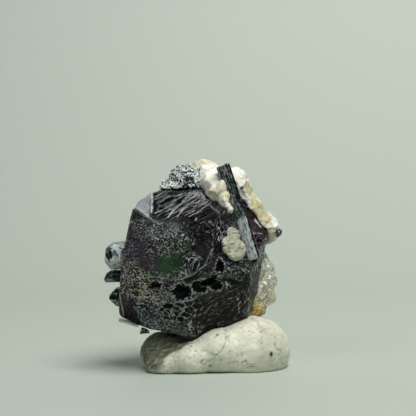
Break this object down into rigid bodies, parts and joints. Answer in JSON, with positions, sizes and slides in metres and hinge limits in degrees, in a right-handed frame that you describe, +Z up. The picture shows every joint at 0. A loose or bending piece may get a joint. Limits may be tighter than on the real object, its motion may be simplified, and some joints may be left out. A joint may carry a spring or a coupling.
{
  "type": "fluorite with schorl mineral specimen",
  "caption": "Dark fluorite crystal with a long black schorl prism on cream feldspar, standing upright in a lump of white mounting putty.",
  "frame": {"origin": "middle of the putty's flat underside, on the surface that it rests on", "axes": "+Z up, -Y towards the viewer of the specimen's front, +X to that viewer's right"},
  "size_m": [0.0448, 0.0358, 0.0504],
  "materials": {
    "fluorite": "frosted and glassy crystal faces",
    "feldspar": "rough, with pearly cleavage",
    "schorl": "glassy black, striated",
    "hyalite": "milky and glassy",
    "mica": "pearly",
    "putty": "matt, soft"
  },
  "bodies": {
    "root": {"fluorite_crystal": "fluorite", "feldspar_matrix": "feldspar", "feldspar_patch": "feldspar", "schorl_prism": "schorl", "schorl_druse": "schorl", "schorl_small_right": "schorl", "schorl_left_upper": "schorl", "schorl_left_middle": "schorl", "schorl_left_lower": "schorl", "schorl_small_bottom": "schorl", "schorl_back_upper": "schorl", "schorl_back_lower": "schorl", "hyalite_lumps": "hyalite", "mica_flake": "mica", "putty_rest": "putty"}
  },
  "joints": []
}
